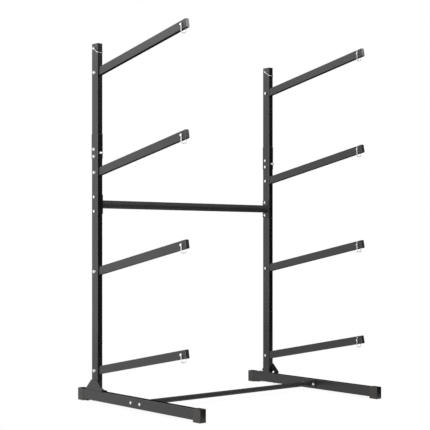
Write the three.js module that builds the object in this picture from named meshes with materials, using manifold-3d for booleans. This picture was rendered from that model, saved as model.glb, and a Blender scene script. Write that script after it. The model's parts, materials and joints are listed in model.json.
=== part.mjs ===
// Kayak stand: two uprights on long feet, each with four rising arms, tied together by two cross bars.
// Millimetres, +Z up. The origin lies on the floor, midway between the stands and midway along the feet.
// The arms rise towards -Y, and the left stand is at -X.
import * as THREE from 'three';
import { mergeVertices } from 'three/addons/utils/BufferGeometryUtils.js';
import Module from 'manifold-3d';

// Overall sizes
const STAND_SPACING = 1138.5;
const STAND_HEIGHT = 1751.8;
const FOOT_SPAN = 959.6;
const REAR_REACH = 145.6;

// Clearances
const SEAT_GAP = 0.3;
const HOLE_CLEARANCE = 0.4;
const SLOT_CLEARANCE = 0.4;
const WELD_SINK = 0.5;
const OVERRUN = 10;

// Upright tube, a lower and an upper length that meet inside a sleeve
const UPRIGHT_WIDTH = 30;
const UPRIGHT_DEPTH = 50;
const UPRIGHT_WALL = 2;
const UPRIGHT_CORNER = 3;
const SPLICE_RISE = 127.6;
const SLEEVE_LENGTH = 120;
const SLEEVE_WALL = 1.5;
const SLEEVE_FIT = 0.3;
const SLEEVE_UPPER_BOLT_DROP = 14.3;
const SLEEVE_FRONT_BOLT_DROP = 32.5;
const SLEEVE_LOWER_BOLT_DROP = 49.3;

// Foot tube, and the plate and gusset that the upright stands on it with
const FOOT_WIDTH = 30;
const FOOT_HEIGHT = 50;
const FOOT_WALL = 2;
const FOOT_CORNER = 3;
const FOOT_LIFT = 8.5;
const BASE_PLATE_LENGTH = 134;
const BASE_PLATE_THICKNESS = 4.5;
const BASE_PLATE_CORNER = 4;
const BASE_BOLT_SPACING = 92;
const GUSSET_THICKNESS = 4;
const GUSSET_HEIGHT = 52;
const GUSSET_END_HEIGHT = 11;

// Rubber boots on the ends of the feet
const BOOT_WALL = 1.5;
const BOOT_FIT = 0.3;
const BOOT_END_WALL = 3;
const BOOT_FRONT_LENGTH = 47;
const BOOT_REAR_LENGTH = 42;
const BOOT_SLANT = 3;
const BOOT_ROUND = 3;
const BOOT_BEVEL = 1.2;
const TONGUE_LENGTH = 80;
const TONGUE_THICKNESS = 5.2;

// Arm tube, bolted through the upright and rising towards its free end
const ARM_WIDTH = 20;
const ARM_HEIGHT = 40;
const ARM_WALL = 1.5;
const ARM_CORNER = 2.5;
const ARM_REACH = 719.3;
const ARM_RISE_DEGREES = 10.88;
const LOWEST_ARM_HEIGHT = 155;
const TOP_ARM_DROP = 141.6;

// Plastic end caps of the arms and uprights
const CAP_THICKNESS = 3;
const CAP_BEVEL = 0.8;
const CAP_PLUG = 12;
const CAP_PLUG_WALL = 1.5;

// Cross bars: round tubes with a welded flange plate at each end
const UPPER_BAR_DIAMETER = 40;
const UPPER_BAR_WALL = 1.5;
const UPPER_BAR_DROP = 154.1;
const LOWER_BAR_DIAMETER = 25;
const LOWER_BAR_WALL = 1.5;
const LOWER_BAR_AHEAD = 341;
const FLANGE_LENGTH = 96;
const FLANGE_WIDTH = 45;
const FLANGE_THICKNESS = 4;
const FLANGE_CORNER = 6;
const FLANGE_BOLT_SPACING = 70;

// Hexagon bolts and nuts
const BOLT_DIAMETER = 8;
const BOLT_FLATS = 13;
const BOLT_HEAD_HEIGHT = 5.3;
const NUT_HEIGHT = 6.5;
const BOLT_TAIL = 3;

// Wire lock pins: a grooved pin whose bail passes round the tube and snaps over its tip
const PIN_DIAMETER = 8;
const PIN_HEAD_DIAMETER = 12;
const PIN_HEAD_LENGTH = 9;
const PIN_CHAMFER = 1.2;
const PIN_GROOVE_DEPTH = 0.8;
const PIN_TIP_LENGTH = 4;
const PIN_INSET = 28;
const TOP_PIN_DROP = 24.5;
const WIRE_DIAMETER = 3;
const BAIL_SIDE_GAP = 2.2;
const BAIL_CORNER = 8;
const BAIL_REACH = 35.5;
const TOP_BAIL_REACH = 34;
const BAIL_STUB = 7.5;
const BAIL_TAIL = 18;
const BAIL_BITE = 0.2;

// Turns
const QUARTER_TURN = Math.PI / 2;
const FULL_TURN = 2 * Math.PI;
const QUARTER_DEGREES = 90;

// Facets. A rounded corner takes twice the arc divisions that an extrusion is given.
const CORNER_STEPS = 2;
const ARC_DIVISIONS = CORNER_STEPS / 2;
const HEX_SIDES = 6;
const HOLE_SIDES = 8;
const PIN_SIDES = 8;
const BAR_SIDES = 16;
const WIRE_SIDES = 6;
const BAIL_CORNER_STEPS = 3;

// Shares of the sizes they follow
const INNER_CORNER_SHARE = 1 / 3;
const WRAP_STATION_SHARES = [-2, 0, 2];
const ARM_PLACE_SHARES = [0, 0.3324, 0.6648, 1];

// Places worked out from the sizes above
const armRise = THREE.MathUtils.degToRad(ARM_RISE_DEGREES);
const topArmHeight = STAND_HEIGHT - TOP_ARM_DROP;
const armBoltHeights = ARM_PLACE_SHARES.map(
  (share) => THREE.MathUtils.lerp(LOWEST_ARM_HEIGHT, topArmHeight, share),
);
const [thirdArmHeight] = armBoltHeights.slice(-2);
const spliceHeight = thirdArmHeight + SPLICE_RISE;
const upperBarHeight = thirdArmHeight - UPPER_BAR_DROP;
const uprightY = FOOT_SPAN / 2 - REAR_REACH;
const footTop = FOOT_LIFT + FOOT_HEIGHT;
const footMiddle = FOOT_LIFT + FOOT_HEIGHT / 2;
const plateBottom = footTop + SEAT_GAP;
const tubeTop = STAND_HEIGHT - CAP_THICKNESS - SEAT_GAP;
const topPinHeight = STAND_HEIGHT - TOP_PIN_DROP;
const holeRadius = BOLT_DIAMETER / 2 + HOLE_CLEARANCE;
const pinHoleRadius = PIN_DIAMETER / 2 + HOLE_CLEARANCE;
const barFaceX = STAND_SPACING / 2 - UPRIGHT_WIDTH / 2 - SEAT_GAP;
const topBailClearance = UPRIGHT_DEPTH / 2 + WIRE_DIAMETER / 2 + SEAT_GAP;
const topBailDip = Math.acos(topBailClearance / TOP_BAIL_REACH);

// Materials
const coatedSteel = new THREE.MeshStandardMaterial({ color: 0x1c1d1e, roughness: 0.55, metalness: 0.1 });
const zincSteel = new THREE.MeshStandardMaterial({ color: 0xc9cbcd, roughness: 0.3, metalness: 1 });
const bootRubber = new THREE.MeshStandardMaterial({ color: 0x1b1a18, roughness: 0.8, metalness: 0 });
const capPlastic = new THREE.MeshStandardMaterial({ color: 0x17181a, roughness: 0.5, metalness: 0 });

const kit = await Module();
kit.setup();

// A closed geometry as a solid for joining and cutting. Faces that shrink to a line at a pole are left out.
function solidOf(geometry) {
  const bare = geometry.clone();
  bare.deleteAttribute('normal');
  bare.deleteAttribute('uv');
  const merged = mergeVertices(bare);
  const corners = merged.index.array;
  const kept = [];
  for (let i = 0; i < corners.length; i += 3) {
    const [a, b, c] = [corners[i], corners[i + 1], corners[i + 2]];
    if (a !== b && b !== c && c !== a) kept.push(a, b, c);
  }
  const vertProperties = Float32Array.from(merged.attributes.position.array);
  return new kit.Manifold(new kit.Mesh({ numProp: 3, vertProperties, triVerts: Uint32Array.from(kept) }));
}

function geometryOf(solid) {
  const mesh = solid.asOriginal().getMesh();
  const geometry = new THREE.BufferGeometry();
  geometry.setAttribute('position', new THREE.BufferAttribute(mesh.vertProperties, 3));
  geometry.setIndex(new THREE.BufferAttribute(mesh.triVerts, 1));
  geometry.computeVertexNormals();
  return geometry;
}

function joined(solids) {
  return solids.reduce((whole, solid) => whole.add(solid));
}

function cutBy(solid, cutters) {
  return cutters.reduce((rest, cutter) => rest.subtract(cutter), solid);
}

function placed(name, geometry, material, x = 0, y = 0, z = 0) {
  const mesh = new THREE.Mesh(geometry, material);
  mesh.name = name;
  mesh.position.set(x, y, z);
  return mesh;
}

// Outlines and plain forms

function roundedOutline(width, height, corner) {
  const x = width / 2 - corner;
  const y = height / 2 - corner;
  const outline = new THREE.Shape();
  outline.absarc(x, y, corner, 0, QUARTER_TURN);
  outline.absarc(-x, y, corner, QUARTER_TURN, 2 * QUARTER_TURN);
  outline.absarc(-x, -y, corner, 2 * QUARTER_TURN, 3 * QUARTER_TURN);
  outline.absarc(x, -y, corner, 3 * QUARTER_TURN, FULL_TURN);
  return outline;
}

// A straight bar of the outline, from z = 0 up
function extruded(outline, depth) {
  return new THREE.ExtrudeGeometry(outline, { depth, bevelEnabled: false, curveSegments: ARC_DIVISIONS });
}

// A rectangle with each corner cut by one flat
function cutOutline(width, height, corner) {
  const [x, y] = [width / 2, height / 2];
  const points = [[1, 1], [-1, 1], [-1, -1], [1, -1]].flatMap(([across, up]) => {
    const side = new THREE.Vector2(across * x, up * (y - corner));
    const end = new THREE.Vector2(across * (x - corner), up * y);
    return across === up ? [side, end] : [end, side];
  });
  return new THREE.Shape(points);
}

// The inside of a tube, whose corners are small
function insideOutline(width, height, corner, wall) {
  const innerCorner = Math.max(corner - wall, corner * INNER_CORNER_SHARE);
  return cutOutline(width - 2 * wall, height - 2 * wall, innerCorner);
}

function tubeOutline(width, height, corner, wall) {
  const outline = roundedOutline(width, height, corner);
  outline.holes.push(insideOutline(width, height, corner, wall));
  return outline;
}

// Turns a bar that stands up so that it runs from y = 0 towards -Y, with the outline's height along Z
function laidForward(geometry) {
  return geometry.rotateX(QUARTER_TURN);
}

// A cylinder along X, Y or Z, centred on the point
function crossCylinder(radius, length, axis, x, y, z) {
  const cylinder = new THREE.CylinderGeometry(radius, radius, length, HOLE_SIDES);
  if (axis === 'x') cylinder.rotateZ(QUARTER_TURN);
  if (axis === 'z') cylinder.rotateX(QUARTER_TURN);
  return solidOf(cylinder.translate(x, y, z));
}

// Bolt with its nut: along X, head at -X, bearing faces at the two given distances from the middle

function hexagon(height, x, outward) {
  const radius = BOLT_FLATS / Math.sqrt(3);
  const body = new THREE.CylinderGeometry(radius, radius, height, HEX_SIDES).rotateZ(QUARTER_TURN);
  return solidOf(body.translate(x + outward * height / 2, 0, 0));
}

function boltSolid(headFace, nutFace) {
  const low = -headFace - BOLT_HEAD_HEIGHT / 2;
  const high = nutFace + NUT_HEIGHT + BOLT_TAIL;
  const shank = crossCylinder(BOLT_DIAMETER / 2, high - low, 'x', (high + low) / 2, 0, 0);
  return joined([hexagon(BOLT_HEAD_HEIGHT, -headFace, -1), shank, hexagon(NUT_HEIGHT, nutFace, 1)]);
}

// Wire lock pin: pin along X with its head at -X, bail hanging towards -Z

// A path that a section is set square to at each listed point, and nowhere between
class StationedPath extends THREE.CatmullRomCurve3 {
  getPointAt(share, target) {
    return this.getPoint(share, target);
  }

  getTangentAt(share, target) {
    return this.getTangent(share, target);
  }
}

function pinShankSolid(halfTube, legOffset) {
  const radius = PIN_DIAMETER / 2;
  const neck = radius - PIN_GROOVE_DEPTH;
  const headRadius = PIN_HEAD_DIAMETER / 2;
  const seat = halfTube + SEAT_GAP;
  const headEnd = seat + PIN_HEAD_LENGTH;
  const grooveNear = -(legOffset - WIRE_DIAMETER / 2);
  const grooveFar = -(legOffset + WIRE_DIAMETER / 2);
  const tip = grooveFar - PIN_TIP_LENGTH;
  const profile = [
    [0, tip],
    [radius - PIN_CHAMFER, tip],
    [radius, tip + PIN_CHAMFER],
    [radius, grooveFar],
    [neck, grooveFar],
    [neck, grooveNear],
    [radius, grooveNear],
    [radius, seat],
    [headRadius, seat],
    [headRadius, headEnd - PIN_CHAMFER],
    [headRadius - PIN_CHAMFER, headEnd],
    [0, headEnd],
  ];
  const points = profile.map(([r, along]) => new THREE.Vector2(r, along));
  return solidOf(new THREE.LatheGeometry(points, PIN_SIDES).rotateZ(QUARTER_TURN));
}

function bailStations(legOffset, reach) {
  const cornerX = legOffset - BAIL_CORNER;
  const cornerZ = -(reach - BAIL_CORNER);
  const wrap = PIN_DIAMETER / 2 - PIN_GROOVE_DEPTH + WIRE_DIAMETER / 2 - BAIL_BITE;
  const stations = [new THREE.Vector3(-legOffset, 0, BAIL_STUB)];
  for (let i = 0; i <= BAIL_CORNER_STEPS; i += 1) {
    const turn = QUARTER_TURN * i / BAIL_CORNER_STEPS;
    const x = -cornerX - BAIL_CORNER * Math.cos(turn);
    stations.push(new THREE.Vector3(x, 0, cornerZ - BAIL_CORNER * Math.sin(turn)));
  }
  for (let i = 0; i <= BAIL_CORNER_STEPS; i += 1) {
    const turn = QUARTER_TURN * i / BAIL_CORNER_STEPS;
    const x = cornerX + BAIL_CORNER * Math.sin(turn);
    stations.push(new THREE.Vector3(x, 0, cornerZ - BAIL_CORNER * Math.cos(turn)));
  }
  for (const share of WRAP_STATION_SHARES) {
    const aside = -wrap * (1 + Math.cos(QUARTER_TURN * share)) / 2;
    stations.push(new THREE.Vector3(legOffset, aside, wrap * share));
  }
  stations.push(new THREE.Vector3(legOffset, 0, BAIL_TAIL));
  return stations;
}

function wireOutline() {
  const points = [];
  for (let i = 0; i < WIRE_SIDES; i += 1) {
    const turn = FULL_TURN * i / WIRE_SIDES;
    points.push(new THREE.Vector2(Math.cos(turn), Math.sin(turn)).multiplyScalar(WIRE_DIAMETER / 2));
  }
  return new THREE.Shape(points);
}

function lockPinSolid(halfTube, reach) {
  const legOffset = halfTube + BAIL_SIDE_GAP + WIRE_DIAMETER / 2;
  const stations = bailStations(legOffset, reach);
  const extrudePath = new StationedPath(stations);
  const bail = new THREE.ExtrudeGeometry(wireOutline(), { steps: stations.length - 1, extrudePath });
  return pinShankSolid(halfTube, legOffset).add(solidOf(bail));
}

// Upright

function tubeBlock(bottom, top, grow = 0) {
  const outline = roundedOutline(UPRIGHT_WIDTH + 2 * grow, UPRIGHT_DEPTH + 2 * grow, UPRIGHT_CORNER + grow);
  return solidOf(extruded(outline, top - bottom).translate(0, 0, bottom));
}

function tubeInside(bottom, top) {
  const outline = insideOutline(UPRIGHT_WIDTH, UPRIGHT_DEPTH, UPRIGHT_CORNER, UPRIGHT_WALL);
  return solidOf(extruded(outline, top - bottom).translate(0, 0, bottom));
}

// The opening in the upright's front wall that an arm enters by, and the hole for the arm's bolt
function armCutters(height) {
  const width = ARM_WIDTH + 2 * SLOT_CLEARANCE;
  const outline = roundedOutline(width, ARM_HEIGHT + 2 * SLOT_CLEARANCE, ARM_CORNER + SLOT_CLEARANCE);
  const slot = laidForward(extruded(outline, UPRIGHT_DEPTH)).rotateX(-armRise);
  const bolt = crossCylinder(holeRadius, UPRIGHT_WIDTH + OVERRUN, 'x', 0, 0, height);
  return [solidOf(slot.translate(0, 0, height)), bolt];
}

function gussetSolid(outward) {
  const half = BASE_PLATE_LENGTH / 2;
  const profile = new THREE.Shape();
  profile.moveTo(-half, 0);
  profile.lineTo(half, 0);
  profile.lineTo(half, GUSSET_END_HEIGHT);
  profile.lineTo(UPRIGHT_DEPTH / 2, GUSSET_HEIGHT);
  profile.lineTo(-UPRIGHT_DEPTH / 2, GUSSET_HEIGHT);
  profile.lineTo(-half, GUSSET_END_HEIGHT);
  const thickness = GUSSET_THICKNESS + WELD_SINK;
  const plate = extruded(profile, thickness).rotateX(QUARTER_TURN).rotateZ(QUARTER_TURN);
  const middle = outward * (UPRIGHT_WIDTH / 2 - WELD_SINK + thickness / 2);
  return solidOf(plate.translate(middle - thickness / 2, 0, plateBottom));
}

function basePlateSolid() {
  const outline = roundedOutline(UPRIGHT_WIDTH, BASE_PLATE_LENGTH, BASE_PLATE_CORNER);
  return solidOf(extruded(outline, BASE_PLATE_THICKNESS).translate(0, 0, plateBottom));
}

function lowerUprightSolid(outward) {
  const top = spliceHeight - SEAT_GAP / 2;
  const shell = tubeBlock(plateBottom, top).subtract(tubeInside(plateBottom, top + OVERRUN));
  const cutters = armBoltHeights.slice(0, -1).flatMap(armCutters);
  const across = UPRIGHT_WIDTH + OVERRUN;
  for (const end of [-1, 1]) {
    const height = upperBarHeight + end * FLANGE_BOLT_SPACING / 2;
    cutters.push(crossCylinder(holeRadius, across, 'x', 0, 0, height));
    const ahead = end * BASE_BOLT_SPACING / 2;
    cutters.push(crossCylinder(holeRadius, BASE_PLATE_THICKNESS + OVERRUN, 'z', 0, ahead, plateBottom));
  }
  for (const drop of [SLEEVE_UPPER_BOLT_DROP, SLEEVE_LOWER_BOLT_DROP]) {
    cutters.push(crossCylinder(holeRadius, across, 'x', 0, 0, spliceHeight - drop));
  }
  const along = UPRIGHT_DEPTH + OVERRUN;
  cutters.push(crossCylinder(holeRadius, along, 'y', 0, 0, spliceHeight - SLEEVE_FRONT_BOLT_DROP));
  const bore = tubeInside(plateBottom + BASE_PLATE_THICKNESS, plateBottom + GUSSET_HEIGHT + OVERRUN);
  const footing = basePlateSolid().add(gussetSolid(outward)).subtract(bore);
  return cutBy(joined([shell, footing]), cutters);
}

// The three bolts that clamp the sleeve on the lower length stay with the sleeve
function sleeveBoltSolids(outward) {
  const halfWidth = UPRIGHT_WIDTH / 2 + SLEEVE_FIT + SLEEVE_WALL;
  const halfDepth = UPRIGHT_DEPTH / 2 + SLEEVE_FIT + SLEEVE_WALL;
  const turn = outward < 0 ? 0 : 2 * QUARTER_DEGREES;
  const bolts = [SLEEVE_UPPER_BOLT_DROP, SLEEVE_LOWER_BOLT_DROP].map((drop) => {
    const bolt = boltSolid(halfWidth, halfWidth).rotate([0, 0, turn]);
    return bolt.translate([0, 0, spliceHeight - drop]);
  });
  const front = boltSolid(halfDepth, halfDepth).rotate([0, 0, QUARTER_DEGREES]);
  bolts.push(front.translate([0, 0, spliceHeight - SLEEVE_FRONT_BOLT_DROP]));
  return bolts;
}

function upperUprightSolid(outward) {
  const splice = spliceHeight + SEAT_GAP / 2;
  const sleeveBottom = spliceHeight - SLEEVE_LENGTH / 2;
  const sleeve = tubeBlock(sleeveBottom, sleeveBottom + SLEEVE_LENGTH, SLEEVE_FIT + SLEEVE_WALL);
  const pocket = tubeBlock(sleeveBottom - OVERRUN, splice, SLEEVE_FIT);
  const inside = tubeInside(splice - OVERRUN, tubeTop + OVERRUN);
  const pinHole = crossCylinder(pinHoleRadius, UPRIGHT_WIDTH + OVERRUN, 'x', 0, 0, topPinHeight);
  const cutters = [pocket, inside, pinHole, ...armCutters(topArmHeight)];
  const weldment = cutBy(tubeBlock(splice, tubeTop).add(sleeve), cutters);
  return joined([weldment, ...sleeveBoltSolids(outward)]);
}

// Foot and its boots

function footSolid() {
  const length = FOOT_SPAN - 2 * (BOOT_END_WALL + SEAT_GAP);
  const rear = REAR_REACH - BOOT_END_WALL - SEAT_GAP;
  const bar = laidForward(extruded(tubeOutline(FOOT_WIDTH, FOOT_HEIGHT, FOOT_CORNER, FOOT_WALL), length));
  const cutters = [];
  for (const end of [-1, 1]) {
    const barBolt = -LOWER_BAR_AHEAD + end * FLANGE_BOLT_SPACING / 2;
    cutters.push(crossCylinder(holeRadius, FOOT_WIDTH + OVERRUN, 'x', 0, barBolt, footMiddle));
    const baseBolt = end * BASE_BOLT_SPACING / 2;
    cutters.push(crossCylinder(holeRadius, FOOT_HEIGHT + OVERRUN, 'z', 0, baseBolt, footMiddle));
  }
  return cutBy(solidOf(bar.translate(0, rear, footMiddle)), cutters);
}

// Side view of a boot, with its closed end at 0 and its mouth towards +X of the outline
function bootProfile(length, tongueLength) {
  const top = footTop + BOOT_FIT + BOOT_WALL;
  const soleTop = FOOT_LIFT - BOOT_FIT;
  const tongueBottom = soleTop - TONGUE_THICKNESS;
  const profile = new THREE.Shape();
  profile.absarc(BOOT_ROUND, BOOT_ROUND, BOOT_ROUND, 2 * QUARTER_TURN, 3 * QUARTER_TURN);
  profile.lineTo(length + BOOT_SLANT, 0);
  if (tongueLength > length) {
    profile.lineTo(length + BOOT_SLANT, tongueBottom);
    profile.lineTo(tongueLength, tongueBottom);
    profile.lineTo(tongueLength, soleTop);
  }
  profile.lineTo(length + BOOT_SLANT, soleTop);
  profile.lineTo(length, top);
  profile.absarc(BOOT_ROUND, top - BOOT_ROUND, BOOT_ROUND, QUARTER_TURN, 2 * QUARTER_TURN);
  return profile;
}

// A boot whose closed end faces +Y and whose mouth opens towards -Y
function bootSolid(length, tongueLength) {
  const width = FOOT_WIDTH + 2 * (BOOT_FIT + BOOT_WALL);
  const block = new THREE.ExtrudeGeometry(bootProfile(length, tongueLength), {
    depth: width - 2 * BOOT_BEVEL,
    bevelThickness: BOOT_BEVEL,
    bevelSize: BOOT_BEVEL,
    bevelOffset: -BOOT_BEVEL,
    bevelSegments: 1,
    curveSegments: ARC_DIVISIONS,
  });
  block.translate(0, 0, BOOT_BEVEL - width / 2).rotateX(QUARTER_TURN).rotateZ(-QUARTER_TURN);
  const [wide, high] = [FOOT_WIDTH + 2 * BOOT_FIT, FOOT_HEIGHT + 2 * BOOT_FIT];
  const outline = roundedOutline(wide, high, FOOT_CORNER + BOOT_FIT);
  const mouth = Math.max(length + BOOT_SLANT, tongueLength) + OVERRUN;
  const cavity = laidForward(extruded(outline, mouth)).translate(0, -BOOT_END_WALL, footMiddle);
  return solidOf(block).subtract(solidOf(cavity));
}

// Arm, along its own axis towards -Y, with its bolt at the origin

function armSolid() {
  const wallInside = UPRIGHT_DEPTH / 2 - UPRIGHT_WALL - SEAT_GAP;
  const heel = (wallInside - ARM_HEIGHT / 2 * Math.sin(armRise)) / Math.cos(armRise);
  const end = ARM_REACH - CAP_THICKNESS - SEAT_GAP;
  const bar = laidForward(extruded(tubeOutline(ARM_WIDTH, ARM_HEIGHT, ARM_CORNER, ARM_WALL), heel + end));
  const bolt = crossCylinder(holeRadius, ARM_WIDTH + OVERRUN, 'x', 0, 0, 0);
  const pin = crossCylinder(pinHoleRadius, ARM_WIDTH + OVERRUN, 'x', 0, PIN_INSET - ARM_REACH, 0);
  return cutBy(solidOf(bar.translate(0, heel, 0)), [bolt, pin]);
}

// End cap whose flange rises from z = 0 and whose hollow plug hangs below it
function capSolid(width, height, corner, wall) {
  const flange = new THREE.ExtrudeGeometry(roundedOutline(width, height, corner), {
    depth: CAP_THICKNESS - 2 * CAP_BEVEL,
    bevelThickness: CAP_BEVEL,
    bevelSize: CAP_BEVEL,
    bevelOffset: -CAP_BEVEL,
    bevelSegments: 1,
    curveSegments: ARC_DIVISIONS,
  });
  const plugOutline = insideOutline(width, height, corner, wall + SEAT_GAP);
  const plugInside = wall + SEAT_GAP + CAP_PLUG_WALL;
  plugOutline.holes.push(insideOutline(width, height, corner, plugInside));
  const plug = extruded(plugOutline, CAP_PLUG + CAP_BEVEL);
  return solidOf(flange.translate(0, 0, CAP_BEVEL)).add(solidOf(plug.translate(0, 0, -CAP_PLUG)));
}

// Cross bar along X, with its flange plates in the YZ plane and their length along the given axis

function flangeSolid(diameter, wall, lengthAxis, end) {
  const outline = lengthAxis === 'z'
    ? roundedOutline(FLANGE_WIDTH, FLANGE_LENGTH, FLANGE_CORNER)
    : roundedOutline(FLANGE_LENGTH, FLANGE_WIDTH, FLANGE_CORNER);
  const plate = extruded(outline, FLANGE_THICKNESS).rotateX(QUARTER_TURN).rotateZ(QUARTER_TURN);
  const innerX = end < 0 ? -barFaceX : barFaceX - FLANGE_THICKNESS;
  const cutters = [crossCylinder(diameter / 2 - wall, 2 * (barFaceX + OVERRUN), 'x', 0, 0, 0)];
  for (const side of [-1, 1]) {
    const offset = side * FLANGE_BOLT_SPACING / 2;
    const [y, z] = lengthAxis === 'z' ? [0, offset] : [offset, 0];
    cutters.push(crossCylinder(holeRadius, 2 * (barFaceX + OVERRUN), 'x', 0, y, z));
  }
  return cutBy(solidOf(plate.translate(innerX, 0, 0)), cutters);
}

function crossBarSolid(diameter, wall, lengthAxis) {
  const outer = diameter / 2;
  const inner = outer - wall;
  const half = barFaceX - FLANGE_THICKNESS + WELD_SINK;
  const corners = [[inner, -half], [outer, -half], [outer, half], [inner, half], [inner, -half]];
  const profile = corners.map(([r, along]) => new THREE.Vector2(r, along));
  const bar = solidOf(new THREE.LatheGeometry(profile, BAR_SIDES).rotateZ(QUARTER_TURN));
  return joined([bar, ...[-1, 1].map((end) => flangeSolid(diameter, wall, lengthAxis, end))]);
}

// Assembly

function bolted(name, geometry, outward, x, y, z) {
  const bolt = placed(name, geometry, zincSteel, x, y, z);
  bolt.rotation.z = outward < 0 ? 0 : Math.PI;
  return bolt;
}

function lockPinned(name, geometry, outward, swing, y, z) {
  const hanger = new THREE.Group();
  hanger.position.set(0, y, z);
  hanger.rotation.x = swing;
  const pin = placed(name, geometry, zincSteel);
  pin.rotation.z = outward < 0 ? 0 : Math.PI;
  hanger.add(pin);
  return hanger;
}

const uprightSeat = UPRIGHT_WIDTH / 2 + SEAT_GAP;
const flangeSeat = uprightSeat + FLANGE_THICKNESS + SEAT_GAP;
const baseNutSeat = plateBottom + BASE_PLATE_THICKNESS + SEAT_GAP - footMiddle;
const shared = {
  arm: geometryOf(armSolid()),
  armCap: geometryOf(capSolid(ARM_WIDTH, ARM_HEIGHT, ARM_CORNER, ARM_WALL)).rotateX(QUARTER_TURN),
  topCap: geometryOf(capSolid(UPRIGHT_WIDTH, UPRIGHT_DEPTH, UPRIGHT_CORNER, UPRIGHT_WALL)),
  foot: geometryOf(footSolid()),
  rearBoot: geometryOf(bootSolid(BOOT_REAR_LENGTH, TONGUE_LENGTH)),
  frontBoot: geometryOf(bootSolid(BOOT_FRONT_LENGTH, 0)),
  armBolt: geometryOf(boltSolid(uprightSeat, uprightSeat)),
  barBolt: geometryOf(boltSolid(uprightSeat, flangeSeat)),
  baseBolt: geometryOf(boltSolid(FOOT_HEIGHT / 2 + SEAT_GAP, baseNutSeat)),
  armPin: geometryOf(lockPinSolid(ARM_WIDTH / 2, BAIL_REACH)),
  topPin: geometryOf(lockPinSolid(UPRIGHT_WIDTH / 2, TOP_BAIL_REACH)),
};

function armAssembly(side, outward, number, height) {
  const group = new THREE.Group();
  group.position.z = height;
  group.rotation.x = -armRise;
  group.add(placed(`arm_${side}_${number}`, shared.arm, coatedSteel));
  const capPlace = CAP_THICKNESS - ARM_REACH;
  group.add(placed(`arm_cap_${side}_${number}`, shared.armCap, capPlastic, 0, capPlace, 0));
  group.add(bolted(`arm_bolt_${side}_${number}`, shared.armBolt, outward, 0, 0, 0));
  const pinPlace = PIN_INSET - ARM_REACH;
  group.add(lockPinned(`lock_pin_${side}_${number}`, shared.armPin, outward, armRise, pinPlace, 0));
  return group;
}

function footAssembly(side, outward) {
  const group = new THREE.Group();
  group.add(placed(`foot_${side}`, shared.foot, coatedSteel));
  group.add(placed(`boot_rear_${side}`, shared.rearBoot, bootRubber, 0, REAR_REACH, 0));
  const front = placed(`boot_front_${side}`, shared.frontBoot, bootRubber, 0, REAR_REACH - FOOT_SPAN, 0);
  front.rotation.z = Math.PI;
  group.add(front);
  for (const [place, end] of [['front', -1], ['rear', 1]]) {
    const barBoltY = -LOWER_BAR_AHEAD + end * FLANGE_BOLT_SPACING / 2;
    group.add(bolted(`lower_bar_bolt_${side}_${place}`, shared.barBolt, outward, 0, barBoltY, footMiddle));
    const baseBoltY = end * BASE_BOLT_SPACING / 2;
    const boltName = `base_bolt_${side}_${place}`;
    const baseBolt = placed(boltName, shared.baseBolt, zincSteel, 0, baseBoltY, footMiddle);
    baseBolt.rotation.y = -QUARTER_TURN;
    group.add(baseBolt);
  }
  return group;
}

function standAssembly(side, outward) {
  const group = new THREE.Group();
  group.position.set(outward * STAND_SPACING / 2, uprightY, 0);
  group.add(placed(`lower_upright_${side}`, geometryOf(lowerUprightSolid(outward)), coatedSteel));
  group.add(placed(`upper_upright_${side}`, geometryOf(upperUprightSolid(outward)), coatedSteel));
  group.add(placed(`top_cap_${side}`, shared.topCap, capPlastic, 0, 0, STAND_HEIGHT - CAP_THICKNESS));
  group.add(footAssembly(side, outward));
  armBoltHeights.forEach((height, i) => group.add(armAssembly(side, outward, i + 1, height)));
  for (const [place, end] of [['upper', 1], ['lower', -1]]) {
    const height = upperBarHeight + end * FLANGE_BOLT_SPACING / 2;
    group.add(bolted(`upper_bar_bolt_${side}_${place}`, shared.barBolt, outward, 0, 0, height));
  }
  const swing = topBailDip - QUARTER_TURN;
  group.add(lockPinned(`lock_pin_${side}_top`, shared.topPin, outward, swing, 0, topPinHeight));
  return group;
}

const stand = new THREE.Group();
stand.name = 'kayak_stand';
stand.add(standAssembly('left', -1));
stand.add(standAssembly('right', 1));
const upperBar = geometryOf(crossBarSolid(UPPER_BAR_DIAMETER, UPPER_BAR_WALL, 'z'));
stand.add(placed('upper_cross_bar', upperBar, coatedSteel, 0, uprightY, upperBarHeight));
const lowerBar = geometryOf(crossBarSolid(LOWER_BAR_DIAMETER, LOWER_BAR_WALL, 'y'));
stand.add(placed('lower_cross_bar', lowerBar, coatedSteel, 0, uprightY - LOWER_BAR_AHEAD, footMiddle));

export default stand;
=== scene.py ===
"""Kayak stand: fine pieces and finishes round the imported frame, in metres and in the frame's axes.

The arms rise towards -Y and the left stand is at -X. Each stand's outer side is the one away from
the other stand.
"""

import json
import math

import bmesh
import bpy
from mathutils import Matrix, Vector


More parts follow.
